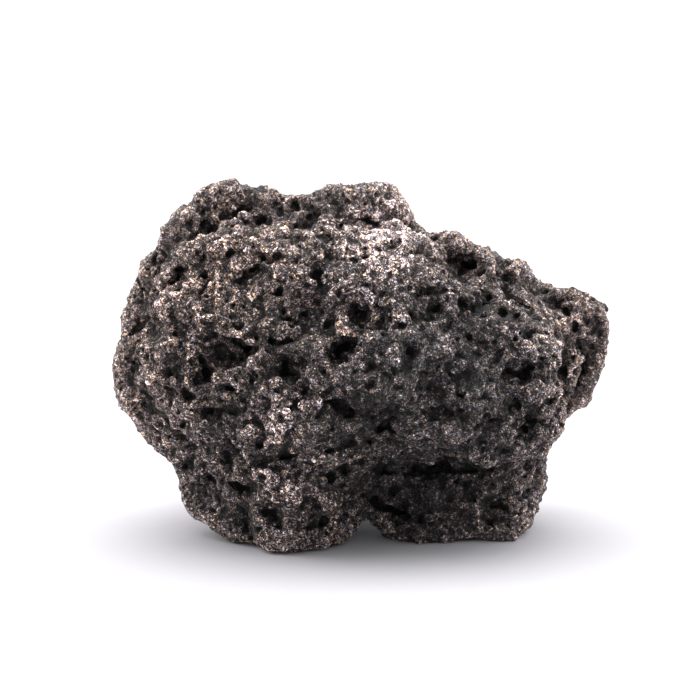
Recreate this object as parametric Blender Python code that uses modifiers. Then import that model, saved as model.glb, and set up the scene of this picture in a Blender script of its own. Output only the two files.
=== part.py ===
"""A lump of lava rock (scoria): one piece of rough, blistered stone, standing on the worn tips of its feet.

The broad front looks along -Y and +Z is up. The origin is on the ground, below the middle of the box.
"""

import random

import bmesh
import bpy
import numpy as np
from mathutils import Vector, noise
from mathutils.bvhtree import BVHTree
from mathutils.kdtree import KDTree

MM = 0.001
WIDTH = 80 * MM  # across the front, the stone's longest side
BLOCK_VOXEL = 0.9 * MM  # how finely the blocks are fused
DETAIL_VOXEL = 0.7 * MM  # and how finely the finished relief is
MOST_TRIANGLES = 9400
SEED = 2

# The angular blocks that the stone is built up from: the corners of each, in mm.
BLOCKS = {
    "body": (
        (-27, -7, 50), (3, -9, 51), (19, -11, 43), (27, -12, 36), (30, -13, 27), (28, -15, 18.5),
        (15, -19.5, 17.5), (3, -19.5, 17.5), (-14, -18.5, 18.5), (-27, -13, 22), (-31, -11, 33),
        (-8, -21, 30), (12, -21, 30), (-33.8, 1, 48), (-37, 2, 39.5), (-39.7, 2, 29), (-39.5, 2, 22.5),
        (-35, 1, 15.5), (-30.5, 1, 11), (-29, 19, 44), (-4, 22, 46), (17, 21, 39), (27, 18, 28),
        (27, 17, 15), (4, 24, 14), (-20, 22, 13), (-34, 18, 27), (-26, 5, 52), (7, 6, 50), (29, 4, 37),
        (33.5, 3, 19.5), (31, 3, 11),
    ),
    "crown": (
        (-31, -2, 51.5), (-28, 2, 56), (-24, 4, 58.3), (-18, 4, 58), (-13.5, 4, 56.3), (-13, -4, 51),
        (-27, 14, 47), (-19, 12, 53), (-13, 18, 46), (-20, 3, 40),
    ),
    "saddle": ((-16, -3, 51), (-5, -3, 52), (-15, 4, 54.8), (-5, 4, 55.4), (-15, 17, 46), (-5, 17, 46)),
    "plateau": (
        (-8, -4, 51), (-7, 3, 56.8), (4.5, 2, 57.8), (9, 4, 51.8), (3, 12, 54), (-7, 13, 53),
        (7, 15, 46), (-7, 18, 46), (0, 5, 40),
    ),
    "ridge": (
        (9, -5, 46), (9.5, 4, 48.2), (16, 2, 49), (20, 3, 44.4), (27, 3, 44.6), (28, -5, 37),
        (28, 12, 37), (12, 16, 44), (18, 3, 34),
    ),
    "wing": (
        (27, 0, 38), (35, 4, 42), (40, 6, 38), (41.5, 8, 32), (41, 8, 25), (36, 6, 19.5), (27, 2, 15),
        (34, 17, 35), (37, 16, 25), (26, 16, 16), (33, -1, 27), (26, 14, 38),
    ),
    "hump": (
        (-24, 20, 38), (-20, 27, 30), (-6, 28, 36), (0, 29, 26), (-10, 25, 17), (-25, 22, 22),
        (4, 20, 40), (8, 22, 20),
    ),
    "back_ledge": (
        (8, 20, 34), (14, 26, 27), (25, 22, 24), (24, 20, 15), (12, 24, 17), (28, 12, 30), (2, 20, 22),
    ),
    "left_foot": (
        (-29.5, -3, 13), (-28, -3, 4), (-22.5, -5, 1), (-12, -13, -1), (-7, -12, -0.8),
        (-4.5, -9, -0.5), (-1, -7, 5), (-1.3, -7.5, 1.2), (-2, -13, 18), (-14, -15.5, 19),
        (-26, -8, 17), (-18, 4, 1), (-6, 5, 2), (-1, 8, 14), (-28, 10, 12),
    ),
    "right_foot": (
        (1, -4, 14), (2.2, -6, 2.6), (8, -8.5, -0.8), (22, -4, -0.8), (26, -4, -0.5), (30, -1, 3.5),
        (30.5, 3, 14), (27, -6, 15), (20, 10, 1.2), (10, 6, 1.2), (3, 14, 14), (28, 16, 13),
    ),
    "back_foot": (
        (-20, 12, 14), (-15, 16, 1), (-8, 14, -1.2), (-1, 17, -0.4), (3, 16, 2), (8, 22, 15),
        (-2, 21, 1), (-10, 20, -0.2), (-17, 22, 15),
    ),
    "lintel": (
        (-6, -12, 15), (6, -12, 15), (-6, 14, 5), (6, 14, 5), (-6, -6, 5.4), (6, -6, 5), (0, 10, 20),
    ),
}
BLOCK_MELTING = 8  # rounds of smoothing that blunt the blocks' edges
DETAIL_MELTING = 2

# The broad waves that leave no face of a block flat: wavelength and height, in mm.
WAVES = ((17, 2), (8, 1.6), (4.5, 0.9))

# The front is described as it looks from a point ahead of it and a little above. Each mark is seen against
# an upright sheet near the stone's middle: its x and z on that sheet, its radius, and how far it stands out
# or goes in, all in mm.
SIGHT_POINT = (-1.7, -440, 124)
SHEET_Y = 2
KNOBS = (
    (-2.8, 33.9, 2.0, 3.2), (-24, 33.5, 5, 2.2), (-19.5, 33.5, 3, 1.6), (-8.2, 30.5, 2.6, 1.6),
    (1, 30.5, 2.4, 1.2), (-7.7, 24.5, 1.8, 1.2), (-13, 19, 2.6, 1.8), (-8.5, 15.2, 3.2, 2),
    (-3.5, 15.5, 2.6, 1.6), (15, 15.2, 3, 1.6), (10.8, 13, 2.6, 1.4), (24, 15.5, 2.8, 1.6),
    (19.5, 13.5, 2.4, 1.4), (27, 29.5, 2.4, 1.8), (31.5, 28.3, 2.2, 1.2), (6, 27.2, 2.2, 1),
    (5.4, 24, 2.6, 1), (-10.4, 7.5, 4.5, 2), (-6, 4.5, 2.6, 1), (-23.4, 11.7, 2.4, 1.4),
    (15.5, 48.5, 2.6, 1.4), (25.5, 44, 2.4, 1.6), (5.4, 38.3, 2.2, 1), (-13.6, 42.2, 2.2, 1),
    (-2.8, 42.8, 2.4, 1.2), (-27.2, 37.8, 2.4, 1), (-21.2, 56.8, 2.2, 1.2), (-25.5, 55.5, 2.2, 0.8),
    (20, 22.5, 2.6, 1), (33, 21, 2.4, 1), (11.5, 32, 3, 1), (-30, 28, 2.6, 1), (-17, 47, 2.6, 1.2),
    (1, 54, 2.6, 1.2), (-33, 36, 2.6, 1.2),
)
HOLLOWS = (
    (-18.5, 30.3, 2.2, 3.6), (-22, 29, 2.4, 2.4), (-26, 27.6, 2.6, 2), (-24.5, 25.6, 2, 2),
    (-12.3, 27.2, 2, 2.4), (-9.6, 27.8, 1.8, 1.8), (-2.8, 30.6, 2.4, 4), (-0.8, 35, 1.8, 2.2),
    (-12, 35.5, 1.8, 1.8), (-14.7, 31.5, 1.8, 1.6), (-9.8, 33.5, 1.8, 1.6), (-4.4, 21, 2.4, 2.2),
    (2.1, 17.8, 2.6, 2.4), (16.8, 44, 2.8, 3), (16.8, 41, 2, 2), (16.5, 37.8, 2, 1.8),
    (19.2, 37, 2, 1.8), (11.9, 37, 1.8, 1.4), (9.7, 39, 1.8, 1.4), (21.7, 39, 1.8, 1.6),
    (26, 37.5, 1.9, 1.8), (25, 26.3, 2, 2.2), (27.8, 26.7, 2, 2.2), (32.3, 25.5, 2, 2),
    (22.2, 23.8, 2.8, 1.4), (11.4, 25, 3, 1.6), (27.1, 17.8, 2.3, 2), (8.6, 18.5, 2.2, 1.6),
    (13.5, 20, 2, 1.2), (-12, 12.8, 2, 2), (-9, 12.6, 2, 2), (-6, 13, 2, 1.8), (-2, 12.5, 2, 1.6),
    (-16.4, 14.3, 2, 1.6), (-24, 20, 2.6, 2), (-27.8, 21.5, 2.2, 1.6), (-30, 42.2, 2, 1.8),
    (-33, 46, 2, 1.6), (-18.5, 42.2, 2.2, 1.8), (-16.5, 51.7, 2.1, 2), (-19.6, 50.5, 2.1, 1.8),
    (-9.8, 49.7, 2.2, 1.8), (-13.1, 53.9, 1.8, 1.4), (-5.5, 49.4, 1.8, 1.2), (-26.7, 52.2, 2.2, 1.8),
    (-22.3, 51.7, 1.8, 1.4), (-6.8, 42.8, 1.8, 1.4), (1, 52, 1.8, 1.2), (4.8, 47.8, 2, 1.4),
    (-19, 2.4, 2.3, 2), (-14.2, 2.8, 1.9, 1.6), (-19, 7.8, 2, 1.6), (-25, 8.9, 2.4, 1.8),
    (-8.2, 3.9, 1.7, 1), (4.8, 4.4, 2.8, 2), (21.7, 3.5, 2.4, 1.8), (17.9, 7.2, 2.2, 1.4),
    (11, 9, 2.4, 1.4), (24, 8.5, 2.2, 1.4), (33.5, 35, 2.2, 1.4), (8, 11, 2.6, 1.6),
)

# Blisters and open bubbles all over. Each row has how many, their radii, their heights or depths, all in mm,
# and how far backward of the middle they lie (the least y of the direction from it).
SCATTER = (
    (80, (6, 10), (1, 2.4), 0.35),
    (66, (4, 7), (-0.8, -2), 0.35),
    (300, (2.2, 4.6), (0.5, 1.5), -1),
    (480, (1.5, 3.2), (-0.6, -2.4), -1),
)
MIDDLE = (0, 2, 27)
FAR = 100 * MM  # a distance from the middle that is surely outside the stone
QUIET_DISTANCE = 2.2 * MM  # scattered marks stay this far from the middles of the chosen ones
RIM_CALM = 0.35  # the share of their height that is left where the front view sees the skin edge on
FRONT_CALM = 0.6  # the share that is left on the front, where the chosen marks are
FRONT_BEGINS = -0.2  # the y of the directions from the middle where the front begins

STONE_COLOUR = (0.075, 0.066, 0.060, 1)


def mm(values):
    return Vector(values) * MM


def clear_scene():
    for obj in list(bpy.data.objects):
        bpy.data.objects.remove(obj)


def applied(obj):
    """The object with its modifiers made part of its mesh."""
    graph = bpy.context.evaluated_depsgraph_get()
    mesh = bpy.data.meshes.new_from_object(obj.evaluated_get(graph))
    obj.modifiers.clear()
    obj.data = mesh
    return obj


def fused(obj, voxel, smoothing):
    """Everything in the object melted into one skin."""
    remesh = obj.modifiers.new("fuse", "REMESH")
    remesh.mode = "VOXEL"
    remesh.voxel_size = voxel
    smooth = obj.modifiers.new("melt", "SMOOTH")
    smooth.iterations = smoothing
    return applied(obj)


def points_of(mesh):
    points = np.empty(len(mesh.vertices) * 3, np.float32)
    mesh.vertices.foreach_get("co", points)
    return points.reshape(-1, 3)


def move_points(mesh, points):
    mesh.vertices.foreach_set("co", points.astype(np.float32).ravel())
    mesh.update()


def blocks(name):
    """The stone's angular blocks, each the hull of its corners, overlapping in one object."""
    mesh = bpy.data.meshes.new(name)
    bm = bmesh.new()
    for corners in BLOCKS.values():
        verts = [bm.verts.new(mm(corner)) for corner in corners]
        hull = bmesh.ops.convex_hull(bm, input=verts)
        inside = {v for v in hull["geom_interior"] if isinstance(v, bmesh.types.BMVert)}
        bmesh.ops.delete(bm, geom=list(inside), context="VERTS")
    bmesh.ops.recalc_face_normals(bm, faces=bm.faces)
    bm.to_mesh(mesh)
    bm.free()
    obj = bpy.data.objects.new(name, mesh)
    bpy.context.scene.collection.objects.link(obj)
    return obj


def warp(mesh):
    """Push the skin about in broad waves."""
    points = points_of(mesh)
    moved = points.copy()
    for wavelength, height in WAVES:
        for index, point in enumerate(points):
            place = Vector(point) / (wavelength * MM)
            moved[index] += np.array(noise.noise_vector(place)) * height * MM
    move_points(mesh, moved)


def skin_tree(mesh):
    """A tree of the skin's faces, to find where a straight line meets it."""
    corners = [vert.co for vert in mesh.vertices]
    faces = [face.vertices for face in mesh.polygons]
    return BVHTree.FromPolygons(corners, faces)


def front_marks(skin):
    """The chosen knobs and hollows, each where its line of sight meets the front."""
    eye = mm(SIGHT_POINT)
    marks = []
    for sign, group in ((1, KNOBS), (-1, HOLLOWS)):
        for x, z, radius, height in group:
            sight = (mm((x, SHEET_Y, z)) - eye).normalized()
            place, normal, _, _ = skin.ray_cast(eye, sight)
            if place is not None:
                outward = (normal - sight).normalized()
                marks.append((place, outward, radius * MM, sign * height * MM))
    return marks


def scattered_marks(skin, chosen):
    """Knobs and bubbles at random over the whole skin, clear of the chosen ones."""
    dice = random.Random(SEED)
    taken = KDTree(len(chosen))
    for index, mark in enumerate(chosen):
        taken.insert(mark[0], index)
    taken.balance()
    marks = []
    for count, radii, heights, least_y in SCATTER:
        for _ in range(count):
            outward = Vector((dice.gauss(0, 1), dice.gauss(0, 1), dice.gauss(0, 1))).normalized()
            radius = dice.uniform(*radii) * MM
            height = dice.uniform(*heights) * MM
            place, normal, _, _ = skin.ray_cast(mm(MIDDLE) + outward * FAR, -outward)
            if outward.y < least_y or taken.find(place)[2] < QUIET_DISTANCE:
                continue
            sight = (place - mm(SIGHT_POINT)).normalized()
            height *= RIM_CALM + (1 - RIM_CALM) * abs(normal.dot(sight))
            if outward.y < FRONT_BEGINS:
                height *= FRONT_CALM
            marks.append((place, normal, radius, height))
    return marks


def press(mesh, marks):
    """Raise or sink the skin round each mark: a round shoulder for a knob, a steep wall for a bubble."""
    points = points_of(mesh)
    tree = KDTree(len(points))
    for index, point in enumerate(points):
        tree.insert(point, index)
    tree.balance()
    moved = points.copy()
    for place, direction, radius, height in marks:
        for _, index, distance in tree.find_range(place, radius):
            inward = distance / radius
            share = (1 - inward**2) ** 2 if height > 0 else 1 - inward**3
            moved[index] += np.array(direction) * height * share
    move_points(mesh, moved)


def thin_out(obj):
    """Fewer triangles, most of them kept where the skin bends."""
    mesh = obj.data
    mesh.calc_loop_triangles()
    thinner = obj.modifiers.new("thin out", "DECIMATE")
    thinner.ratio = MOST_TRIANGLES / len(mesh.loop_triangles)
    return applied(obj)


def wear_soles(mesh):
    """Cut off what reaches below the ground, which leaves a small flat on each foot."""
    bm = bmesh.new()
    bm.from_mesh(mesh)
    everything = bm.verts[:] + bm.edges[:] + bm.faces[:]
    ground = {"plane_co": (0, 0, 0), "plane_no": (0, 0, 1)}
    cut = bmesh.ops.bisect_plane(bm, geom=everything, clear_inner=True, **ground)
    rim = [e for e in cut["geom_cut"] if isinstance(e, bmesh.types.BMEdge)]
    bmesh.ops.triangle_fill(bm, use_beauty=True, edges=rim)
    bmesh.ops.recalc_face_normals(bm, faces=bm.faces)
    bm.to_mesh(mesh)
    bm.free()


def settle(mesh):
    """Bring the stone to its width, with the origin below the middle of its bounding box."""
    points = points_of(mesh)
    low = points.min(axis=0)
    high = points.max(axis=0)
    middle = (low + high) / 2
    middle[2] = low[2]
    move_points(mesh, (points - middle) * WIDTH / (high[0] - low[0]))


def stone_material():
    material = bpy.data.materials.new("lava_stone")
    material.use_nodes = True
    shader = material.node_tree.nodes["Principled BSDF"]
    shader.inputs["Base Color"].default_value = STONE_COLOUR
    shader.inputs["Roughness"].default_value = 0.92
    shader.inputs["Metallic"].default_value = 0
    return material


def main():
    clear_scene()
    noise.seed_set(SEED)
    stone = fused(blocks("lava_rock"), BLOCK_VOXEL, BLOCK_MELTING)
    warp(stone.data)
    skin = skin_tree(stone.data)
    chosen = front_marks(skin)
    press(stone.data, scattered_marks(skin, chosen) + chosen)
    fused(stone, DETAIL_VOXEL, DETAIL_MELTING)
    thin_out(stone)
    wear_soles(stone.data)
    settle(stone.data)
    stone.data.materials.clear()
    stone.data.materials.append(stone_material())


main()
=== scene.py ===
"""A lump of lava rock (scoria): its crumbly, holed skin, the pale floor, the light and the camera.

The skin is worked out on a grid of distances (in mm, negative inside the stone). The solid part's own shape
is read into the grid, waves, lumps and crumbs are added, bubbles and the chosen cavities are taken out, and
the zero surface is the skin.
"""

import math

import bpy
import numpy as np
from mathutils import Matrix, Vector
from mathutils.bvhtree import BVHTree


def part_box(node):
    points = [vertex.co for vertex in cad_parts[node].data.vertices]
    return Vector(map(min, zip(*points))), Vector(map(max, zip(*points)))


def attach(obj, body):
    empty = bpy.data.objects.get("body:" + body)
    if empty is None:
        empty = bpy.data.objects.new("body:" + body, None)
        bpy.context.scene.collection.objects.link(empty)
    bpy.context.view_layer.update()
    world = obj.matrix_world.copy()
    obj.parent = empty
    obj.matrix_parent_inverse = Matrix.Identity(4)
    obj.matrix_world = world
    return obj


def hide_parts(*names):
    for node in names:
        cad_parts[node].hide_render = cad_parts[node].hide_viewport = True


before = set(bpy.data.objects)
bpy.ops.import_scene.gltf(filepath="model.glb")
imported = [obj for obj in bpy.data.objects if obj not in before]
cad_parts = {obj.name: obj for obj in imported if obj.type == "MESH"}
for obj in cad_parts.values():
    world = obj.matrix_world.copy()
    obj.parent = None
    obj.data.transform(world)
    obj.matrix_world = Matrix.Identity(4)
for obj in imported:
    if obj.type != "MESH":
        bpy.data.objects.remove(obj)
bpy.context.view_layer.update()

MM = 0.001
SOLID = "lava_rock"
SEED = 7

# The grid, in mm.
FINE = 0.26  # the step of the grid that the skin is read from
COARSE_STEPS = 3  # fine steps in a step of the grid that the solid is read into
ROOM = 3.0  # empty space round the solid
REACH = 4.0  # distances are only kept up to this far from the skin
FARTHEST = 100.0  # farther from the solid than any point of the grid
RAY_STEP = 1e-4  # from one crossing of the solid on to the next

# The camera stands in front of the stone and a little above it.
PIXEL = 0.1623  # mm of the stone in a pixel of the 700 pixel picture
FRAME_PIXELS = 700
DISTANCE = 450.0
ELEVATION = math.radians(12)
AIM = Vector((-1.704, -3.65, 30.43))
EYE = AIM + DISTANCE * Vector((0, -math.cos(ELEVATION), math.sin(ELEVATION)))
SENSOR = 36.0
SIGHT_SPAN = 50.0  # the stone lies within this much nearer and farther than DISTANCE, in mm


# ---------------------------------------------------------------- the grid
class Grid:
    """A box of evenly spaced points, in mm."""

    def __init__(self, low, high, step):
        coarse = step * COARSE_STEPS
        self.step = step
        self.low = np.array(low) - ROOM
        self.cells = np.ceil((np.array(high) + ROOM - self.low) / coarse).astype(int)
        self.size = self.cells * COARSE_STEPS + 1

    def axes(self, every=1):
        return [self.low[a] + self.step * np.arange(0, self.size[a], every) for a in range(3)]

    def place(self, index):
        return self.low + np.asarray(index) * self.step


def spread(values, places):
    """Coarse values read smoothly (as a cubic B-spline) at the places along each axis."""
    for axis, at in enumerate(places):
        cell = np.floor(at).astype(int)
        t = (at - cell).astype(np.float32)
        shares = ((1 - t) ** 3, 3 * t**3 - 6 * t**2 + 4, -3 * t**3 + 3 * t**2 + 3 * t + 1, t**3)
        shape = [1, 1, 1]
        shape[axis] = -1
        total = 0
        for offset, share in zip((-1, 0, 1, 2), shares):
            near = np.clip(cell + offset, 0, values.shape[axis] - 1)
            total = total + np.take(values, near, axis=axis) * (share / 6).reshape(shape)
        values = total
    return values


WAVE_GAIN = 1.6  # makes up for what the smooth reading takes off the random values


def waves(grid, wavelength, dice):
    """Smooth random values over the grid, mostly from -1 to 1, with bumps of about that wavelength (mm)."""
    pitch = wavelength / 2
    counts = [int(n * grid.step / pitch) + 5 for n in grid.size]
    values = dice.standard_normal(counts).astype(np.float32)
    places = [np.arange(n) * grid.step / pitch + 1 + dice.random() for n in grid.size]
    return spread(values, places) * WAVE_GAIN


def solid_distance(obj, grid):
    """The signed distance from the solid at every point of the grid."""
    corners = [v.co / MM for v in obj.data.vertices]
    tree = BVHTree.FromPolygons(corners, [p.vertices for p in obj.data.polygons])
    xs, ys, zs = grid.axes(COARSE_STEPS)
    distance = np.empty((len(xs), len(ys), len(zs)), np.float32)
    up = Vector((0, 0, 1))
    for i, x in enumerate(xs):
        for j, y in enumerate(ys):
            crossings = []
            start = Vector((x, y, zs[0] - 1))
            hit = tree.ray_cast(start, up)[0]
            while hit is not None:
                crossings.append(hit.z)
                hit = tree.ray_cast(hit + up * RAY_STEP, up)[0]
            inside = np.searchsorted(crossings, zs) % 2 == 1
            for k, z in enumerate(zs):
                gap = tree.find_nearest(Vector((x, y, z)), FARTHEST)[3]
                distance[i, j, k] = -gap if inside[k] else gap
    return distance


def stamp(field, grid, centre, radius, rough, bend, add, melt=0.0):
    """Add a ball to the stone, or take one out.

    rough is a grid of waves that bend it from round, by bend times its radius. It melts into what is there
    over melt mm.
    """
    reach = radius * (1 + bend) + 2 * grid.step + melt
    low = np.maximum(np.floor((centre - reach - grid.low) / grid.step).astype(int), 0)
    high = np.minimum(np.ceil((centre + reach - grid.low) / grid.step).astype(int) + 1, grid.size)
    if np.any(low >= high):
        return
    box = tuple(slice(a, b) for a, b in zip(low, high))
    axes = [grid.low[a] + grid.step * np.arange(low[a], high[a]) - centre[a] for a in range(3)]
    x, y, z = (axis.astype(np.float32) ** 2 for axis in axes)
    ball = np.sqrt(x[:, None, None] + y[None, :, None] + z[None, None, :]) - np.float32(radius)
    if bend:
        ball += rough[box] * np.float32(bend * radius)
    part = field[box]
    if not add:
        part = -part
    # the smaller of the two, rounded over where they are closer than melt
    if melt:
        near = np.maximum(melt - np.abs(part - ball), 0) / melt
        mixed = np.minimum(part, ball) - near**2 * (melt / 4)
    else:
        mixed = np.minimum(part, ball)
    field[box] = mixed if add else -mixed


def band_points(field, grid, count, dice, deepest, highest):
    """Random points of the grid whose distances lie between those two."""
    near = np.flatnonzero((field > deepest) & (field < highest))
    chosen = dice.choice(near, size=count)
    index = np.stack(np.unravel_index(chosen, field.shape), axis=1)
    return grid.place(index + dice.random((count, 3)) - 0.5)


# ---------------------------------------------------------------- from the grid to a mesh
CORNERS = [(i, j, k) for i in (0, 1) for j in (0, 1) for k in (0, 1)]


def surface(field, grid):
    """The zero surface of the field as points (mm) and quads, one point in each cell that it passes."""
    inside = field < 0
    count = np.zeros(tuple(n - 1 for n in inside.shape), np.uint8)
    for i, j, k in CORNERS:
        count += inside[i : i + count.shape[0], j : j + count.shape[1], k : k + count.shape[2]]
    active = np.flatnonzero((count > 0) & (count < 8))
    cell = np.stack(np.unravel_index(active, count.shape), axis=1)
    name = np.full(count.shape, -1, np.int32)
    name.ravel()[active] = np.arange(len(active))
    total = np.zeros((len(active), 3))
    crossings = np.zeros(len(active))
    for start in CORNERS:
        for axis in range(3):
            if start[axis]:
                continue
            end = list(start)
            end[axis] = 1
            a = field[cell[:, 0] + start[0], cell[:, 1] + start[1], cell[:, 2] + start[2]]
            b = field[cell[:, 0] + end[0], cell[:, 1] + end[1], cell[:, 2] + end[2]]
            crossed = (a < 0) != (b < 0)
            share = a[crossed] / (a[crossed] - b[crossed])
            place = np.tile(np.array(start, float), (len(share), 1))
            place[:, axis] = share
            total[crossed] += place
            crossings[crossed] += 1
    points = grid.place(cell + total / crossings[:, None])
    quads = []
    for axis in range(3):
        u, v = (axis + 1) % 3, (axis + 2) % 3
        ahead = [slice(1, -1)] * 3
        here = [slice(1, -1)] * 3
        ahead[axis] = slice(1, None)
        here[axis] = slice(0, -1)
        first = inside[tuple(here)]
        second = inside[tuple(ahead)]
        edge = np.stack(np.nonzero(first != second), axis=1)
        out = first[edge[:, 0], edge[:, 1], edge[:, 2]]
        edge[:, u] += 1
        edge[:, v] += 1
        ring = []
        for du, dv in ((-1, -1), (0, -1), (0, 0), (-1, 0)):
            at = edge.copy()
            at[:, u] += du
            at[:, v] += dv
            ring.append(name[at[:, 0], at[:, 1], at[:, 2]])
        ring = np.stack(ring, axis=1)
        ring[~out] = ring[~out][:, ::-1]
        quads.append(ring)
    return points, np.concatenate(quads)


def largest_shell(points, quads):
    """Only the biggest connected surface, without closed bubbles inside the stone or loose specks."""
    label = np.arange(len(points))
    pairs = np.concatenate([quads[:, [0, 1]], quads[:, [1, 2]], quads[:, [2, 3]]])
    while True:
        least = np.minimum(label[pairs[:, 0]], label[pairs[:, 1]])
        new = label.copy()
        np.minimum.at(new, pairs[:, 0], least)
        np.minimum.at(new, pairs[:, 1], least)
        new = new[new]
        new = new[new]
        if np.array_equal(new, label):
            break
        label = new
    root = np.bincount(label).argmax()
    kept = label == root
    number = np.cumsum(kept) - 1
    quads = quads[kept[quads[:, 0]]]
    return points[kept], number[quads]


# ---------------------------------------------------------------- the stone's skin
# The chosen forms of the front, each where the camera sees it: a line of (column, row) in the picture, its
# half width, and how far it goes in or stands out, all in pixels of the picture.
CUTS = (
    # under the chip and round the middle
    (((338, 352), (345, 346), (350, 340)), 6, 22), (((358, 312), (360, 320), (362, 326)), 5, 12),
    (((335, 405), (342, 410), (350, 412)), 6, 14), (((325, 372),), 4, 8), (((303, 364),), 3.5, 8),
    (((305, 314), (309, 318)), 4.5, 10), (((327, 328), (330, 322)), 4, 10), (((372, 382), (368, 388)), 4, 8),
    (((270, 342), (280, 342), (290, 341), (297, 338)), 4, 14), (((283, 312), (284, 320)), 3.5, 10),
    (((279, 291),), 4.5, 10), (((284, 365), (288, 372)), 5, 12), (((305, 392), (303, 388)), 5, 12),
    (((380, 430), (386, 424), (396, 416)), 7, 14), (((388, 440), (398, 444)), 5, 10), (((296, 402),), 4, 6),
    (((317, 267), (318, 275), (320, 286)), 3.5, 12),
    # the arch on the left and the pits below it
    (((214, 334), (212, 339)), 3, 9), (((226, 335), (236, 342), (244, 347)), 4.5, 13),
    (((247, 348),), 6.5, 20), (((210, 350), (222, 356), (234, 358)), 6, 6),
    (((198, 363), (203, 361)), 4, 10), (((207, 371), (208, 380)), 5, 14), (((193, 380), (190, 383)), 5, 12),
    (((246, 365), (243, 366)), 3, 9), (((175, 364), (178, 350)), 4, 6), (((168, 365), (170, 376)), 4, 7),
    (((180, 396), (188, 396), (196, 398)), 3, 9), (((205, 410), (214, 412), (222, 410), (236, 412)), 5, 12),
    (((225, 388), (232, 385)), 3.5, 6), (((247, 392),), 4, 5), (((156, 402), (160, 400)), 4, 6),
    (((190, 445),), 5, 6), (((168, 312), (172, 316)), 5.5, 10), (((153, 321), (152, 330)), 5, 10),
    (((139, 325),), 4, 8),
    # the top
    (((242, 227), (250, 229), (256, 223), (266, 219)), 4, 12), (((222, 219), (228, 218)), 3.5, 8),
    (((207, 226), (210, 233)), 4, 8), (((202, 208), (204, 216)), 4, 10), (((213, 208),), 3, 7),
    (((190, 222), (192, 230)), 5, 8), (((275, 208), (281, 213), (290, 211), (296, 206)), 4.5, 10),
    (((303, 211), (312, 213)), 4, 8), (((324, 229), (327, 234)), 4.5, 9), (((293, 231), (298, 237)), 5, 9),
    (((244, 275), (251, 271), (256, 269)), 5, 14), (((236, 281), (242, 280)), 3.5, 8),
    (((201, 268), (205, 277)), 3.5, 9), (((174, 280), (178, 274), (180, 270)), 5.5, 14),
    (((162, 247), (158, 256), (154, 262)), 4.5, 10), (((228, 255), (236, 252)), 3, 6), (((216, 259),), 3, 6),
    (((203, 257),), 3, 7), (((268, 259), (278, 257)), 2.5, 7), (((366, 220), (372, 221)), 2.5, 7),
    (((361, 205),), 3, 6), (((340, 205),), 4, 6), (((253, 245),), 4, 6), (((242, 263),), 3, 6),
    (((331, 253), (328, 262)), 3.5, 8), (((391, 247), (392, 243)), 4, 8),
    # the right of the front
    (((463, 264), (474, 267)), 5, 14), (((452, 262), (458, 260)), 4, 9), (((450, 274), (462, 274)), 4, 12),
    (((462, 284),), 3, 8), (((420, 293), (430, 289)), 4, 9), (((416, 302), (420, 296)), 3, 7),
    (((430, 312), (437, 308)), 5, 10), (((460, 302), (470, 307), (478, 312)), 3.5, 10),
    (((486, 297), (494, 296), (490, 303)), 5, 10), (((521, 304), (528, 309), (533, 314)), 3.5, 10),
    (((545, 297), (556, 302)), 4, 6), (((529, 333), (530, 344)), 3.5, 12),
    (((509, 346), (520, 347)), 2.5, 8), (((508, 371), (516, 374), (526, 370), (536, 367)), 4.5, 14),
    (((498, 352), (497, 360)), 3, 7), (((552, 379), (561, 374), (566, 369)), 6, 12),
    (((541, 330), (548, 334)), 3, 6), (((593, 326), (599, 334)), 6, 10),
    (((577, 325), (580, 334), (583, 342)), 3.5, 8), (((583, 345), (595, 348)), 4, 6),
    (((412, 352), (411, 363), (405, 370)), 4, 10), (((384, 374), (392, 373), (400, 372)), 2.5, 6),
    (((425, 412), (437, 413), (447, 411)), 2.5, 7), (((429, 384), (436, 390)), 4, 6), (((491, 392),), 6, 8),
    (((513, 410), (516, 402)), 4, 9), (((522, 432), (530, 425), (535, 420)), 5, 12),
    (((548, 426), (549, 420)), 3, 10), (((548, 402), (556, 398)), 2.5, 8),
    (((440, 446), (450, 452), (462, 450), (470, 446)), 2.5, 8),
    (((476, 438), (482, 447), (492, 450), (504, 449), (514, 446)), 2.5, 8), (((383, 293),), 4, 6),
    (((383, 316),), 4, 6),
    # between the front and the lobe behind it on the right
    (
        (
            (548, 296), (560, 306), (571, 317), (577, 330), (580, 345), (584, 358), (578, 376), (570, 392),
            (562, 412),
        ),
        2.5, 9,
    ),
    # the crack over the left foot, and the left foot
    (((280, 459), (292, 456), (305, 453), (318, 455), (330, 450), (342, 446), (352, 442)), 3.5, 13),
    (((258, 446), (264, 446)), 4.5, 10), (((370, 442),), 3, 8),
    (((236, 484), (246, 489), (256, 482)), 5, 12), (((266, 512), (274, 513), (276, 518)), 5.5, 12),
    (((236, 518), (242, 522)), 6, 12), (((244, 531), (254, 531)), 4, 8), (((205, 505), (209, 511)), 4, 8),
    (((208, 487),), 6, 8), (((313, 507), (318, 508)), 4, 8), (((218, 470),), 4, 8),
    (((343, 465), (344, 473)), 3, 8), (((184, 467),), 5, 6), (((225, 448), (228, 456)), 5, 7),
    (((245, 458),), 5, 6), (((322, 524),), 3, 6),
    # under the lip, and the right foot
    (((380, 470), (396, 472), (410, 468)), 5, 14),
    (((412, 466), (424, 472), (432, 466), (446, 464), (452, 470)), 5, 14),
    (((460, 470), (470, 468), (480, 472)), 4, 12), (((480, 448), (492, 450), (504, 452)), 5, 12),
    (((505, 469), (512, 463)), 3, 8), (((378, 460), (386, 458)), 3, 8), (((456, 477),), 4, 10),
    (((375, 500), (381, 506), (392, 510), (402, 512)), 6, 18), (((487, 507), (499, 503), (505, 508)), 5, 12),
    (((491, 522), (495, 517)), 5, 10), (((515, 517),), 2.5, 6), (((420, 519),), 4, 8),
    (((408, 534), (412, 542)), 5, 8),
)
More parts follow.
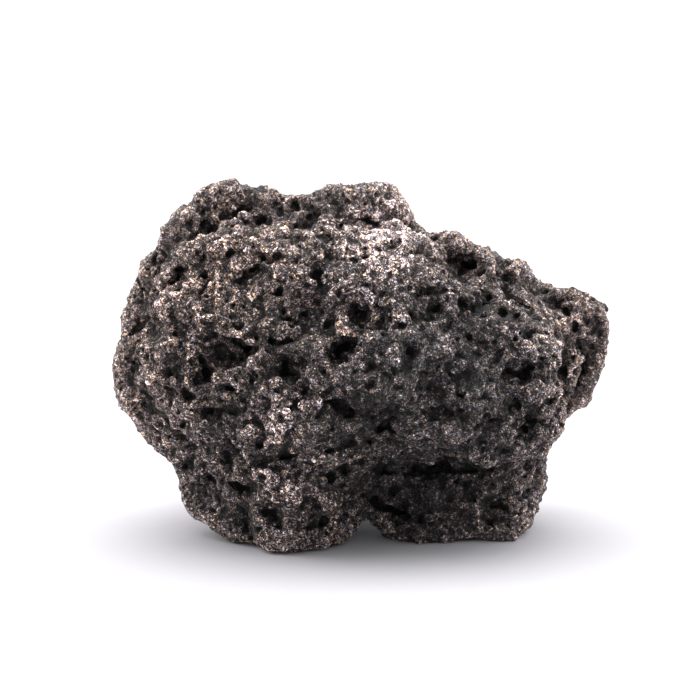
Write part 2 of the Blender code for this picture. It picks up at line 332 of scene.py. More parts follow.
CRESTS = (
    (((217, 331), (232, 332), (246, 338), (256, 344)), 4, 5), (((251, 361), (249, 369)), 3, 5),
    (((186, 378), (190, 388), (198, 393), (206, 389), (213, 384), (215, 372)), 3, 4),
    (((226, 375), (232, 381), (236, 386)), 3, 4), (((318, 352),), 10, 5), (((366, 346),), 7, 4),
    (((262, 420), (275, 413), (285, 413)), 4, 5), (((243, 432), (255, 428)), 3.5, 5),
    (((265, 440), (266, 452)), 2.5, 4),
    (((205, 456), (215, 460), (222, 468), (232, 476), (246, 479), (258, 472)), 3, 5),
    (((268, 470), (272, 485), (275, 500)), 3, 5), (((283, 493), (289, 487)), 3, 4),
    (((527, 345), (532, 352), (534, 358)), 5, 8), (((538, 343), (541, 347)), 3, 4),
    (((580, 352), (576, 372), (568, 390), (563, 408)), 4, 5), (((505, 433),), 10, 9), (((451, 434),), 9, 8),
    (((487, 462),), 7, 7), (((510, 467), (516, 463)), 2.5, 4), (((236, 232), (238, 237)), 5, 4),
    (((515, 268),), 8, 4), (((300, 405), (310, 407), (320, 400), (338, 389)), 3, 4), (((316, 382),), 4, 4),
    (((290, 352), (300, 348)), 3, 4), (((225, 310), (222, 322)), 8, 4), (((430, 350), (438, 352)), 6, 3),
    (((478, 405), (492, 410)), 5, 3),
)

# The stone's outline in the picture, clockwise from the right foot of the arch, read off enlargements of the
# picture with a grid over them. Its last point and its first close it under the right foot.
OUTLINE = (
    (413, 548), (400, 541), (380, 524), (369, 512), (355, 519), (350, 525), (347, 534), (331, 543),
    (324, 549), (300, 550), (278, 552), (264, 549), (256, 543), (239, 542), (220, 534), (206, 523),
    (189, 513), (185, 503), (180, 480), (173, 463), (158, 450), (137, 427), (131, 414), (120, 406),
    (115, 381), (114, 361), (121, 340), (123, 331), (122, 316), (130, 301), (135, 285), (140, 272),
    (142, 262), (157, 250), (160, 236), (175, 213), (180, 208), (190, 209), (191, 202), (201, 190),
    (209, 185), (220, 184), (230, 179), (240, 185), (248, 189), (266, 188), (279, 192), (283, 196),
    (310, 195), (327, 186), (340, 186), (350, 187), (374, 183), (390, 185), (401, 195), (409, 209),
    (420, 230), (438, 237), (452, 232), (458, 233), (470, 245), (480, 248), (498, 256), (508, 263),
    (517, 259), (527, 264), (531, 275), (539, 281), (543, 286), (568, 290), (573, 289), (597, 301),
    (604, 312), (609, 329), (606, 340), (608, 348), (604, 356), (605, 361), (598, 377), (594, 388),
    (590, 400), (582, 408), (576, 409), (563, 420), (560, 434), (550, 445), (544, 461), (546, 480),
    (540, 497), (535, 512), (526, 528), (510, 539), (502, 542), (478, 538), (465, 540), (450, 545),
    (430, 544),
)
ARCH = slice(2, 7)  # those of its points that run round the arch
OUTLINE_STEPS = 3  # points of the rounded outline for each of its own
RIM = (1.5, 2.4)  # radii of the knobs along the outline, in mm
RIM_GAP = 4  # pixels from one to the next
RIM_DEPTH = 0.35  # each stands where its line of sight is within so many mm of its deepest in the solid
RIM_BEND, RIM_MELT = 0.2, 1.2

# The pale pointed chip in the middle of the front, from its root to its point: column, row, half width and
# height, in pixels.
CHIP = (
    (339, 325, 4, 11), (341, 330, 5.2, 12), (346, 331, 4.2, 13), (350, 333, 3.2, 14), (354, 335, 2.3, 14),
)
CHIP_BEND, CHIP_MELT = 0.25, 0.1
CHIP_MARKS = {"tone_and_painted_light": 0.6, "hue": 2.0, "dust": 0.6}  # how much paler, browner and smoother it is
CHIP_FADE = 0.4  # the marks fade out this far (mm) from it

# Each row: how many, their radii (mm), how far their middles are from the skin (mm, out is positive), how
# far from round they are (a share of the radius), and over how much they melt into the skin (mm).
LUMPS = ((700, (1.1, 2.2), (-1.5, -0.8), 0.6, 0.5),)
BUBBLES = (
    (220, (0.9, 1.7), (0.2, 1.1), 0.6, 0.2),
    (1300, (0.45, 0.9), (0.0, 0.6), 0.5, 0.0),
)
CRUMBS = (
    (5000, (0.45, 0.9), (-0.7, -0.35), 0.5, 0.2),
    (12000, (0.3, 0.55), (-0.45, -0.2), 0.5, 0.0),
)
PINHOLES = ((9000, (0.3, 0.5), (-0.1, 0.3), 0.5, 0.0),)
SWELLS = ((7.5, 0.4), (2.6, 0.4))  # wavelength and height of the waves that come before the bubbles
KNOBS = ((5.0, 1.0), (1.9, 0.45))  # and of the folded waves, round knobs with creases between them
KNOB_SHAPE = 0.65  # the further under 1 this power is, the broader the knobs and the sharper the creases
ROUGHNESS = ((1.4, 0.26), (0.75, 0.18))  # and of those that come after the bubbles
BENDING = 1.3  # wavelength of the waves that bend the stamped balls from round
# Threads and thorns are worn away, pass by pass, where the stone fills less than this share of the space up
# to so many mm away.
THORNS = ((0.27, 0.52), (0.27, 0.52), (0.16, 1.05))
THORN_RISE = 2.5  # how fast the field rises (mm) as the stone fills less
RECESS = (2.1, 0.55)  # each cut lies in a hollow this many times as wide, and this much of its width deep
RECESS_BEND, RECESS_MELT = 0.3, 0.6
CUT_BEND = 0.35
CUT_TAPER = 0.3  # the share of its width that a cut has lost at its bottom
CREST_BEND, CREST_MELT = 0.3, 0.4
LINE_GAP = 0.6  # the balls along a cut or a crest are this share of its half width apart

OVERHANG = 0.1  # how far (mm) the skin may pass the outline
# The skin is worn near the outline, fully up to the first distance from it (mm) and not beyond the second,
# and loses these shares of its small forms and of the roughness that comes later.
WORN = (0.8, 2.8)
WORN_FORMS, WORN_ROUGHNESS = 0.7, 0.35
EVENED, WORN_EVENED = 1, 2  # how many steps of the grid the forms are evened over, everywhere and where worn

FEWER_LARGE = 2.5  # the higher this power, the fewer of a row's balls are near its largest radius

# Where the stone is paler (over 0) or darker (under 0) than the rest, seen as the forms are: its own paler
# and darker places, and painted highlights on the top and painted shade in recesses, under the lip and round
# the feet.
# Each is column, row and how far it reaches, in pixels, and by how many powers of two.
TONES_AND_PAINTED_LIGHT = (
    # the top
    (350, 190, 35, -0.5), (320, 215, 30, -0.6), (219, 200, 6, 1.8), (385, 225, 45, 1.9), (345, 240, 25, 0.4),
    (370, 245, 40, 0.6), (265, 235, 35, 0.4), (440, 245, 25, 0.3), (400, 255, 30, 0.7), (220, 265, 32, 0.9),
    # the left
    (194, 300, 32, 0.8), (190, 335, 20, 0.3), (193, 358, 23, 1.5), (160, 380, 50, 0.2), (145, 395, 45, 0.4),
    (213, 368, 38, -1.3), (251, 363, 6, 1.3), (265, 375, 25, -0.6), (220, 412, 30, -0.9),
    (265, 420, 28, 1.2),
    # the middle
    (400, 275, 35, 0.4), (370, 278, 20, 0.3), (345, 315, 22, 0.5), (425, 315, 25, 0.3), (430, 310, 40, -0.4),
    (292, 345, 35, -1.4), (342, 362, 24, 0.9), (395, 352, 18, -0.4), (295, 366, 18, 0.7),
    (430, 380, 50, -0.9), (303, 402, 24, 1.0), (316, 396, 23, 1.0), (340, 410, 45, -0.9),
    (385, 415, 50, -1.0), (420, 416, 25, 0.8),
    # the right
    (495, 265, 16, 0.6), (500, 275, 20, 0.4), (475, 300, 35, -0.7), (550, 300, 18, -0.5),
    (600, 315, 20, -0.3), (515, 315, 30, -0.3), (570, 322, 35, 0.9), (545, 345, 25, 0.4),
    (485, 350, 40, -0.8), (570, 365, 18, 0.5), (560, 375, 25, 0.4), (482, 402, 25, -0.9),
    (490, 430, 60, -0.9), (505, 438, 10, 0.5), (456, 443, 8, 0.6), (490, 462, 9, 0.5), (420, 462, 15, 0.5),
    (440, 465, 60, -1.1),
    # the feet
    (215, 455, 22, 0.5), (350, 460, 40, -0.7), (270, 485, 18, 0.6), (300, 493, 25, 1.2),
    (240, 498, 40, -1.5), (390, 480, 45, -1.4), (485, 485, 40, -0.5), (425, 535, 30, -1.5),
)
PAINTED_BACK_SHADE = (3.0, 14.0, 1.2)  # painted shade: it darkens towards the back, which the walls light most, between these two y (mm), by so many powers of two
# and where it is browner (over 0) or greyer (under 0), and how much
HUES = (
    (150, 330, 80, 0.9), (250, 255, 60, 0.9), (400, 350, 90, -0.7), (490, 380, 80, -0.8),
    (420, 480, 60, -1.4), (380, 230, 35, -0.4), (580, 340, 50, 0.5),
)
DUST = (-15.0, -3.0, 0.75)  # dust hides the grains more and more between these two y, up to this share
SIDES = ("back_left", "left", "front", "right", "back_right")  # the skin's pieces, round from the back
CREST_SPANS = (0.5, 1.6)  # how far round a point the two measures of crest and hollow look, in mm; they set painted shade and highlights


def sight(column, row):
    """The direction in which the camera sees that pixel of the picture."""
    middle = FRAME_PIXELS / 2
    right = Vector((1, 0, 0))
    ahead = (AIM - EYE).normalized()
    up = right.cross(ahead)
    aim = ahead * DISTANCE + (right * (column - middle) + up * (middle - row)) * PIXEL
    return np.array(aim.normalized())


def picture_place(points):
    """The column and row of the picture in which the camera sees each of the points."""
    ahead = (AIM - EYE).normalized()
    offset = points - np.array(EYE)
    scale = DISTANCE / PIXEL / (offset @ np.array(ahead))
    column = FRAME_PIXELS / 2 + offset[:, 0] * scale
    row = FRAME_PIXELS / 2 - (offset @ np.array(Vector((1, 0, 0)).cross(ahead))) * scale
    return column, row


def smooth_loop(corners, steps):
    """A closed Catmull-Rom curve through the corners, as that many points for each."""
    p = np.array(corners, float)
    before, after, beyond = np.roll(p, 1, 0), np.roll(p, -1, 0), np.roll(p, -2, 0)
    parts = []
    for t in np.arange(steps) / steps:
        parts.append(
            p + t * (after - before) / 2 + t**2 * (before - 2.5 * p + 2 * after - beyond / 2)
            + t**3 * (1.5 * (p - after) + (beyond - before) / 2)
        )
    return np.stack(parts, axis=1).reshape(-1, 2)


def outline_gap(grid):
    """How far (mm) each point of the grid is outside the outline, with its arch filled; inside, negative."""
    axes = grid.axes(COARSE_STEPS)
    places = np.stack(np.meshgrid(*axes, indexing="ij"), axis=-1).reshape(-1, 3)
    column, row = picture_place(places)
    line = smooth_loop(OUTLINE[: ARCH.start] + OUTLINE[ARCH.stop :], OUTLINE_STEPS)
    gap = np.full(column.shape, 1e9)
    inside = np.zeros(column.shape, bool)
    for (x0, y0), (x1, y1) in zip(line, np.roll(line, -1, 0)):
        length = max((x1 - x0) ** 2 + (y1 - y0) ** 2, 1e-9)
        along = np.clip(((column - x0) * (x1 - x0) + (row - y0) * (y1 - y0)) / length, 0, 1)
        gap = np.minimum(gap, (column - x0 - along * (x1 - x0)) ** 2 + (row - y0 - along * (y1 - y0)) ** 2)
        if y0 != y1:
            crossed = (y0 > row) != (y1 > row)
            inside ^= crossed & (column < x0 + (row - y0) * (x1 - x0) / (y1 - y0))
    gap = np.where(inside, -1, 1) * np.sqrt(gap) * PIXEL
    gap = gap.reshape([len(axis) for axis in axes]).astype(np.float32)
    return spread(gap, [np.arange(n) / COARSE_STEPS for n in grid.size])


def sight_line(grid, column, row, finer=1):
    """Points along the camera's line of sight through that pixel, and the grid's index nearest to each."""
    along = np.arange(DISTANCE - SIGHT_SPAN, DISTANCE + SIGHT_SPAN, grid.step / finer)
    points = np.array(EYE) + along[:, None] * sight(column, row)
    index = np.round((points - grid.low) / grid.step).astype(int)
    within = np.all((index >= 0) & (index < grid.size), axis=1)
    return points[within], index[within]


def rim(field, solid, grid, rough, dice):
    """Knobs all along the outline, so that the stone reaches it."""
    line = smooth_loop(OUTLINE, 1)
    for (x, y), (u, v) in zip(line, np.roll(line, -1, 0) - line):
        length = math.hypot(u, v)
        count = max(1, round(length / RIM_GAP))
        for i in range(count):
            radius = RIM[0] + (RIM[1] - RIM[0]) * dice.random()
            inward = (radius / PIXEL) / length
            points, index = sight_line(grid, x + u * i / count + v * -inward, y + v * i / count + u * inward)
            depth = solid[index[:, 0], index[:, 1], index[:, 2]]
            stretch = points[depth < depth.min() + RIM_DEPTH]
            for quarter in (1, 2, 3):
                place = stretch[len(stretch) * quarter // 4]
                stamp(field, grid, place, radius, rough, RIM_BEND, True, RIM_MELT)


def seen_point(field, grid, column, row):
    """The first point of the skin that the camera sees at that pixel, or None."""
    points, index = sight_line(grid, column, row, finer=2)
    inside = np.flatnonzero(field[index[:, 0], index[:, 1], index[:, 2]] < 0)
    return points[inside[0]] if len(inside) else None


def line_points(corners, gap):
    """Points along a line of corners, about that gap apart."""
    points = [np.array(corners[0], float)]
    for start, end in zip(corners, corners[1:]):
        start, end = np.array(start, float), np.array(end, float)
        count = max(1, round(float(np.linalg.norm(end - start)) / gap))
        points += [start + (end - start) * (i + 1) / count for i in range(count)]
    return points


def cut(field, grid, rough, place, direction, radius, depth):
    """A cavity going in from the place, with a wider and shallower hollow round its mouth."""
    wide = radius * RECESS[0]
    middle = place - direction * (wide - radius * RECESS[1])
    stamp(field, grid, middle, wide, rough, RECESS_BEND, False, RECESS_MELT)
    for inward in np.arange(-radius, depth - radius / 2, radius / 2):
        narrowing = 1 - CUT_TAPER * max(inward, 0) / depth
        stamp(field, grid, place + direction * inward, radius * narrowing, rough, CUT_BEND, False)


def carve(field, grid, rough):
    """The chosen forms of the front."""
    untouched = field.copy()
    for corners, half_width, depth in CUTS:
        for column, row in line_points(corners, half_width * LINE_GAP):
            place = seen_point(untouched, grid, column, row)
            if place is not None:
                cut(field, grid, rough, place, sight(column, row), half_width * PIXEL, depth * PIXEL)
    for corners, half_width, height in CRESTS:
        for column, row in line_points(corners, half_width * LINE_GAP):
            place = seen_point(untouched, grid, column, row)
            if place is not None:
                centre = place - sight(column, row) * (height - half_width) * PIXEL
                stamp(field, grid, centre, half_width * PIXEL, rough, CREST_BEND, True, CREST_MELT)


def chip(field, solid, grid, rough):
    """The pale pointed chip, with stone behind it. The result is its balls: their middles and radii."""
    balls = []
    for column, row, half_width, height in CHIP:
        ground = seen_point(solid, grid, column, row)
        radius = half_width * PIXEL
        for out in np.arange(height * PIXEL - radius, 0, -radius / 2):
            balls.append((ground - sight(column, row) * out, radius))
            stamp(field, grid, *balls[-1], rough, CHIP_BEND, True, CHIP_MELT)
    return balls


def scatter(field, grid, rows, add, rough, dice):
    """Balls at random places near the skin, more of them small than large."""
    for count, radii, depths, bend, melt in rows:
        places = band_points(field, grid, count, dice, depths[0], depths[1])
        small, large = radii
        radius = small + (large - small) * dice.random(count) ** FEWER_LARGE
        for place, r in zip(places, radius):
            stamp(field, grid, place, r, rough, bend, add, melt)


def box_mean(values, reach):
    """The mean of the values up to reach steps away along each axis."""
    for axis in range(3):
        total = np.cumsum(values, axis=axis, dtype=np.float32)
        size = values.shape[axis]
        last = np.minimum(np.arange(size) + reach, size - 1)
        first = np.maximum(np.arange(size) - reach - 1, 0)
        values = (np.take(total, last, axis) - np.take(total, first, axis)) / (2 * reach + 1)
    return values


def share_inside(field, grid, reach):
    """How much of the space up to reach mm away from each point of the grid the stone fills."""
    return box_mean((field < 0).astype(np.float32), max(1, round(reach / grid.step)))


def without_thorns(field, grid, least, reach):
    """The field without the stone that fills less than that share of the space up to reach mm away."""
    return np.maximum(field, THORN_RISE * (least - share_inside(field, grid, reach)))


def read(values, grid, points):
    """The grid's values at the points, between its steps."""
    at = (points - grid.low) / grid.step
    cell = np.clip(np.floor(at).astype(int), 0, grid.size - 2)
    t = at - cell
    total = np.zeros(len(points))
    for i, j, k in CORNERS:
        share = np.ones(len(points))
        for axis, side in enumerate((i, j, k)):
            share *= t[:, axis] if side else 1 - t[:, axis]
        total += share * values[cell[:, 0] + i, cell[:, 1] + j, cell[:, 2] + k]
    return total


def lumpy_shape(field, solid, grid, rough, dice):
    """Knobs, lumps and bubbles, and the chosen forms of the front, on the solid's smooth skin."""
    for wavelength, height in SWELLS:
        field += height * waves(grid, wavelength, dice)
    for wavelength, height in KNOBS:
        field += height * (0.5 - np.minimum(np.abs(waves(grid, wavelength, dice)), 1) ** KNOB_SHAPE)
    scatter(field, grid, LUMPS, True, rough, dice)
    scatter(field, grid, BUBBLES, False, rough, dice)
    rim(field, solid, grid, rough, dice)
    carve(field, grid, rough)


def crumbly_shape(field, grid, rough, dice):
    """The field inside the outline, worn near it, and with the crumbs, pinholes and roughness."""
    gap = outline_gap(grid)
    np.maximum(field, gap - OVERHANG, out=field)
    worn = np.clip((WORN[1] - np.abs(gap)) / (WORN[1] - WORN[0]), 0, 1)
    field = box_mean(field, EVENED)
    field += WORN_FORMS * worn * (box_mean(field, WORN_EVENED) - field)
    scatter(field, grid, CRUMBS, True, rough, dice)
    scatter(field, grid, PINHOLES, False, rough, dice)
    for wavelength, height in ROUGHNESS:
        field += (1 - WORN_ROUGHNESS * worn) * height * waves(grid, wavelength, dice)
    for least, reach in THORNS:
        field = without_thorns(field, grid, least, reach)
    return field


def between(values, ends):
    """0 at and before the first end, 1 at and beyond the second."""
    return np.clip((values - ends[0]) / (ends[1] - ends[0]), 0, 1)


def stone_marks(points, field, solid, grid, balls):
    """The marks on the skin's points that its colours follow, painted shade and highlights among them."""
    # relief, crest and rise set the painted shade in hollows and painted highlights on crests
    marks = {"relief": read(solid, grid, points)}
    for name, reach in zip(("crest", "rise"), CREST_SPANS):
        marks[name] = 1 - 2 * read(share_inside(field, grid, reach), grid, points)
    # painted shade towards the back, where the walls light the stone most
    marks["tone_and_painted_light"] = -PAINTED_BACK_SHADE[2] * between(points[:, 1], PAINTED_BACK_SHADE)
    marks["hue"] = np.zeros(len(points))
    marks["dust"] = DUST[2] * between(points[:, 1], DUST)
    # the first patches hold painted highlights and painted shade besides the stone's own paler and darker
    # places
    for mark, patches in (("tone_and_painted_light", TONES_AND_PAINTED_LIGHT), ("hue", HUES)):
        for column, row, reach, strength in patches:
            place = seen_point(solid, grid, column, row)
            marks[mark] += strength * np.exp(-np.sum((points - place) ** 2, axis=1) / (reach * PIXEL) ** 2)
    near = np.zeros(len(points))
    for place, radius in balls:
        gap = np.linalg.norm(points - place, axis=1) - radius
        near = np.maximum(near, np.clip(1 - gap / CHIP_FADE, 0, 1))
    for mark, strength in CHIP_MARKS.items():
        marks[mark] += near * strength
    return marks


def stone_skin():
    """The skin's points (mm), its quads, and the marks on its points."""
    dice = np.random.default_rng(SEED)
    low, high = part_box(SOLID)
    grid = Grid(np.array(low) / MM, np.array(high) / MM, FINE)
    coarse = solid_distance(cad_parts[SOLID], grid)
    solid = np.clip(spread(coarse, [np.arange(n) / COARSE_STEPS for n in grid.size]), -REACH, REACH)
    rough = waves(grid, BENDING, dice)
    field = solid.copy()
    lumpy_shape(field, solid, grid, rough, dice)
    field = crumbly_shape(field, grid, rough, dice)
    balls = chip(field, solid, grid, rough)
    ground = grid.axes()[2].astype(np.float32)
    np.maximum(field, -ground[None, None, :], out=field)
    points, quads = largest_shell(*surface(field, grid))
    return points, quads, stone_marks(points, field, solid, grid, balls)


def point_normals(points, quads):
    """The skin's own direction at each point."""
    across = points[quads[:, 2]] - points[quads[:, 0]]
    along = points[quads[:, 3]] - points[quads[:, 1]]
    faces = np.cross(across, along)
    normals = np.zeros(points.shape)
    for corner in range(4):
        for axis in range(3):
            normals[:, axis] += np.bincount(quads[:, corner], faces[:, axis], len(points))
    return normals / np.maximum(np.linalg.norm(normals, axis=1), 1e-12)[:, None]


def wedges(points, quads):
    """The quads in even lots, one for each of the sides, by where they lie round the middle."""
    centres = points[quads].mean(axis=1) - (points.min(axis=0) + points.max(axis=0)) / 2
    turn = np.arctan2(centres[:, 0], -centres[:, 1])  # from the front, positive to the right
    place = np.empty(len(quads), int)
    place[np.argsort(turn, kind="stable")] = np.arange(len(quads)) * len(SIDES) // len(quads)
    return [quads[place == side] for side in range(len(SIDES))]


def mesh_piece(name, points, quads, marks, normals):
    """One of the skin's pieces, with its share of the marks."""
    used, corners = np.unique(quads, return_inverse=True)
    mesh = bpy.data.meshes.new(name)
    mesh.vertices.add(len(used))
    mesh.vertices.foreach_set("co", (points[used] * MM).astype(np.float32).ravel())
    mesh.loops.add(quads.size)
    mesh.loops.foreach_set("vertex_index", corners.astype(np.int32).ravel())
    mesh.polygons.add(len(quads))
    mesh.polygons.foreach_set("loop_start", np.arange(0, quads.size, 4, dtype=np.int32))
    mesh.update(calc_edges=True)
    mesh.shade_smooth()
    # the whole skin's directions, so that no border shows between the sides
    mesh.normals_split_custom_set_from_vertices(normals[used].astype(np.float32))
    for mark, values in marks.items():
        attribute = mesh.attributes.new(mark, "FLOAT", "POINT")
        attribute.data.foreach_set("value", values[used].astype(np.float32))
    obj = bpy.data.objects.new(name, mesh)
    bpy.context.scene.collection.objects.link(obj)
    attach(obj, "root")
    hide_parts(SOLID)
    return obj


# ---------------------------------------------------------------- materials
class Nodes:
    """Adds a material's nodes and joins them up."""

    def __init__(self, name):
        self.material = bpy.data.materials.new(name)
        self.material.use_nodes = True
        self.tree = self.material.node_tree
        self.shader = self.tree.nodes["Principled BSDF"]

    def add(self, kind, inputs=None, **settings):
        node = self.tree.nodes.new(kind)
        for key, value in settings.items():
            setattr(node, key, value)
        for key, value in (inputs or {}).items():
            self.put(node.inputs[key], value)
        return node

    def put(self, socket, value):
        if isinstance(value, bpy.types.NodeSocket):
            self.tree.links.new(value, socket)
        else:
            socket.default_value = value

    def math(self, operation, a, b=0.0):
        return self.add("ShaderNodeMath", {0: a, 1: b}, operation=operation).outputs[0]

    def mix(self, share, a, b, blend="MIX"):
        node = self.add("ShaderNodeMix", data_type="RGBA", blend_type=blend)
        self.put(node.inputs["Factor"], share)
        self.put(node.inputs[6], a)
        self.put(node.inputs[7], b)
        return node.outputs[2]

    def ramp(self, value, stops):
        """A colour that changes with the value, from each of the stops to the next."""
        node = self.add("ShaderNodeValToRGB", {"Fac": value})
        ramp = node.color_ramp
        ramp.interpolation = "LINEAR"
        while len(ramp.elements) < len(stops):
            ramp.elements.new(0.5)
        for element, (place, colour) in zip(ramp.elements, stops):
            element.position = place
            element.color = (*colour, 1)
        return node.outputs["Color"]

    def span(self, value, low, high, out_low=0.0, out_high=1.0):
        """The value, moved from between low and high to between out_low and out_high."""
        node = self.add("ShaderNodeMapRange", {0: value, 1: low, 2: high, 3: out_low, 4: out_high})
        return node.outputs[0]

    def attribute(self, name):
        return self.add("ShaderNodeAttribute", attribute_name=name).outputs["Fac"]

    def noise(self, place, size, detail, roughness):
        """Smooth waves of about that size in mm, from 0 to 1."""
        settings = {"Vector": place, "Scale": 1 / (size * MM), "Detail": detail, "Roughness": roughness}
        return self.add("ShaderNodeTexNoise", settings).outputs["Fac"]

    def fold(self, value):
        """How far a noise is from its middle: 0 along thin winding lines."""
        return self.math("ABSOLUTE", self.math("SUBTRACT", value, 0.5))

    def grains(self, place, size):
        """A different random number in every grain of about that size in mm."""
        cells = self.add("ShaderNodeTexVoronoi", {"Vector": place, "Scale": 1 / (size * MM)})
        return self.add("ShaderNodeSeparateColor", {0: cells.outputs["Color"]})


def greys(*stops):
    """The stops of a ramp that only lightens (over 1) or darkens (under 1)."""
    return tuple((place, (strength, strength, strength)) for place, strength in stops)


GRAINS = (0.33, 0.21)  # sizes of the coarse and the fine grains, in mm
GRAIN_COLOURS = (
    (0.0, (0.024, 0.019, 0.020)), (0.3, (0.048, 0.039, 0.038)), (0.5, (0.067, 0.059, 0.066)),
    (0.7, (0.093, 0.074, 0.063)), (0.88, (0.130, 0.106, 0.087)), (1.0, (0.170, 0.154, 0.162)),
)
SPECKS = greys((0.0, 0.05), (0.25, 0.45), (0.5, 1.1), (0.75, 1.95), (1.0, 3.3))
DUSTY = (1.25, 1.25, 1.25, 1)  # the specks under full dust
TINTS = (
    (0.15, (1.22, 1.0, 0.72)), (0.4, (1.12, 0.98, 0.92)),
    (0.6, (0.98, 1.0, 0.97)), (0.85, (0.87, 0.98, 1.2)),
)
# A noise is its size (mm), detail and roughness. The thin winding lines are where one passes its middle, and
# their ramps start from 0 on the line.
PATCH_NOISE, PATCHES = (5, 3, 0.6), greys((0.3, 0.87), (0.5, 1.55), (0.7, 2.7))
CREASE_NOISE, CREASES = (1.8, 3, 0.65), greys((0.0, 0.15), (0.025, 0.65), (0.08, 1.25))
FOLD_NOISE, FOLDS = (0.6, 3, 0.65), greys((0.0, 0.03), (0.035, 0.5), (0.08, 1.35))
EDGE_NOISE, EDGES = (0.8, 2, 0.6), greys((0.0, 3.2), (0.025, 1.5), (0.07, 0.8))
ELSEWHERE = (0.01, 0, 0)  # a move (m) that gives creases and edges waves of their own
# The marks on the skin that paint shade into its hollows and highlights onto its crests: the span of the
# mark's values, and a ramp from one end to the other.
PAINTED_FORM_SHADES = (
    ("crest", -0.6, 0.6, greys((0.0, 0.1), (0.3, 0.48), (0.5, 0.95), (1.0, 1.75))),
    ("rise", -0.6, 0.6, greys((0.0, 0.12), (0.25, 0.45), (0.5, 1.0), (1.0, 1.55))),
    ("relief", -1.4, 1.2, greys((0.0, 0.4), (0.5, 0.95), (1.0, 1.6))),
)
HUE_MARK = ("hue", -1.5, 1.5, ((0.0, (0.92, 1.0, 1.10)), (1.0, (1.09, 1.0, 0.90))))
GLOSS = (0.6, 1.0)  # the least and the greatest roughness of a grain
BUMP_NOISE = (0.35, 3, 0.7)
GRAIN_BUMP = 0.35  # how much a grain's own height adds to that noise
BUMP = 0.0007  # height of the bumps, in metres


def line_shades(n, place):
    """Dark creases and folds, and bright edges."""
    elsewhere = n.add("ShaderNodeVectorMath", {0: place, 1: ELSEWHERE}).outputs[0]
    lines = ((elsewhere, CREASE_NOISE, CREASES), (place, FOLD_NOISE, FOLDS), (elsewhere, EDGE_NOISE, EDGES))
    return [n.ramp(n.fold(n.noise(where, *noise)), ramp) for where, noise, ramp in lines]


def mark_shade(n, name, low, high, ramp):
    return n.ramp(n.span(n.attribute(name), low, high), ramp)


def painted_light_and_tone_shade(n):
    """Powers of two from the mark that holds the stone's own paler and darker places with painted highlights
    and painted shade.
    """
    tone_and_painted_light = n.math("POWER", 2.0, n.attribute("tone_and_painted_light"))
    return n.add("ShaderNodeCombineColor", {0: tone_and_painted_light, 1: tone_and_painted_light, 2: tone_and_painted_light}).outputs[0]


def stone_material():
    """Grains of several colours, crossed by thin lines, with painted shade in the hollows, painted
    highlights on the crests, and painted light and shade in chosen places.
    """
    n = Nodes("lava_stone")
    place = n.add("ShaderNodeTexCoord").outputs["Object"]
    coarse, fine = (n.grains(place, size) for size in GRAINS)
    specks = n.mix(n.attribute("dust"), n.ramp(fine.outputs[0], SPECKS), DUSTY)
    tints = n.ramp(fine.outputs[1], TINTS)
    patches = n.ramp(n.noise(place, *PATCH_NOISE), PATCHES)
    # painted shade in the hollows and painted highlights on the crests
    forms = [mark_shade(n, *mark) for mark in PAINTED_FORM_SHADES]
    hue = mark_shade(n, *HUE_MARK)
    colour = n.ramp(coarse.outputs[0], GRAIN_COLOURS)
    shades = [specks, *line_shades(n, place), tints, patches, *forms, painted_light_and_tone_shade(n), hue]
    for shade in shades:
        colour = n.mix(1.0, colour, shade, "MULTIPLY")
    n.put(n.shader.inputs["Base Color"], colour)
    n.put(n.shader.inputs["Roughness"], n.span(fine.outputs[1], 0, 1, *GLOSS))
    height = n.math("ADD", n.noise(place, *BUMP_NOISE), n.math("MULTIPLY", fine.outputs[2], GRAIN_BUMP))
    bumps = n.add("ShaderNodeBump", {"Height": height, "Strength": 1.0, "Distance": BUMP})
    n.put(n.shader.inputs["Normal"], bumps.outputs["Normal"])
    return n.material


def stone():
    points, quads, marks = stone_skin()
    normals = point_normals(points, quads)
    material = stone_material()
    for side, part in zip(SIDES, wedges(points, quads)):
        piece = mesh_piece("lava_rock_" + side, points, part, marks, normals)
        piece.data.materials.append(material)


stone()


# ---------------------------------------------------------------- floor, light and camera
# The light of the walls by where it comes from: up to the first y of the direction (-1 is the camera's side)
# it has the third strength, from the second y on the fourth, and between them it changes evenly.
WALLS = (-0.5, 0.6, 0.42, 2.7)
WALL_COLOUR = (0.96, 0.965, 1.0, 1)
FLOOR_HALF = 4.0  # half the floor's width, in metres
FLOOR_COLOUR = (0.50, 0.495, 0.515, 1)
FLOOR_ROUGHNESS = 0.9
SUN_WIDTH = 60  # degrees of the sky
# Each soft light: its name, the direction towards it, its strength and its colour.
SUNS = (
    ("overhead", (-0.05, 0.2, 1), 3.0, (1.0, 0.985, 0.96)),
    ("left", (-1, 0.1, 0.5), 1.2, (1.0, 0.98, 0.96)),
    ("right", (1, 0.2, 0.5), 1.2, (1.0, 0.98, 0.96)),
)
FARTHEST_SEEN = 100  # metres


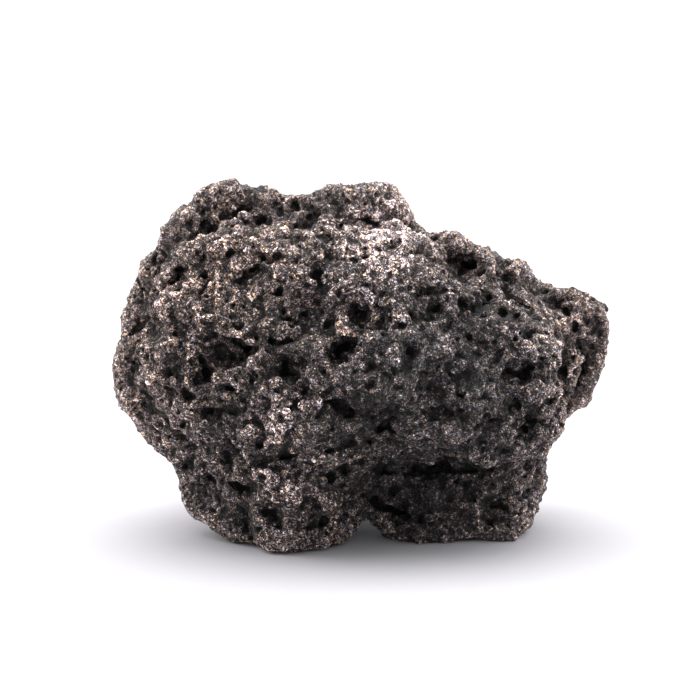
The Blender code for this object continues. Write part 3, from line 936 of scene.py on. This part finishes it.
def floor():
    mesh = bpy.data.meshes.new("floor")
    corners = [(x * FLOOR_HALF, y * FLOOR_HALF, 0) for x, y in ((-1, -1), (1, -1), (1, 1), (-1, 1))]
    mesh.from_pydata(corners, [], [(0, 1, 2, 3)])
    obj = bpy.data.objects.new("floor", mesh)
    bpy.context.scene.collection.objects.link(obj)
    material = bpy.data.materials.new("floor")
    material.use_nodes = True
    shader = material.node_tree.nodes["Principled BSDF"]
    shader.inputs["Base Color"].default_value = FLOOR_COLOUR
    shader.inputs["Roughness"].default_value = FLOOR_ROUGHNESS
    shader.inputs["Specular IOR Level"].default_value = 0
    mesh.materials.append(material)


def sun(name, towards, strength, colour):
    """Soft light from a wide patch of the sky, in the direction towards it."""
    lamp = bpy.data.lights.new(name, "SUN")
    lamp.angle = math.radians(SUN_WIDTH)
    lamp.energy = strength
    lamp.color = colour
    obj = bpy.data.objects.new(name, lamp)
    obj.rotation_euler = Vector(towards).to_track_quat("Z", "Y").to_euler()
    bpy.context.scene.collection.objects.link(obj)


def surroundings():
    """Pale walls behind the stone and at its sides, and a dark room on the camera's side."""
    world = bpy.data.worlds.new("white room")
    world.use_nodes = True
    nodes, links = world.node_tree.nodes, world.node_tree.links
    background = nodes["Background"]
    background.inputs["Color"].default_value = WALL_COLOUR
    direction = nodes.new("ShaderNodeSeparateXYZ")
    links.new(nodes.new("ShaderNodeTexCoord").outputs["Generated"], direction.inputs[0])
    strength = nodes.new("ShaderNodeMapRange")
    for socket, value in zip(strength.inputs[1:5], WALLS):
        socket.default_value = value
    links.new(direction.outputs["Y"], strength.inputs[0])
    links.new(strength.outputs[0], background.inputs["Strength"])
    bpy.context.scene.world = world


def camera():
    data = bpy.data.cameras.new("camera")
    data.sensor_width = SENSOR
    data.lens = SENSOR * DISTANCE / (FRAME_PIXELS * PIXEL)
    data.clip_end = FARTHEST_SEEN
    obj = bpy.data.objects.new("camera", data)
    obj.location = EYE * MM
    obj.rotation_euler = (AIM - EYE).to_track_quat("-Z", "Y").to_euler()
    bpy.context.scene.collection.objects.link(obj)
    bpy.context.scene.camera = obj


floor()
surroundings()
for light in SUNS:
    sun(*light)
camera()
bpy.context.scene.view_settings.view_transform = "Standard"
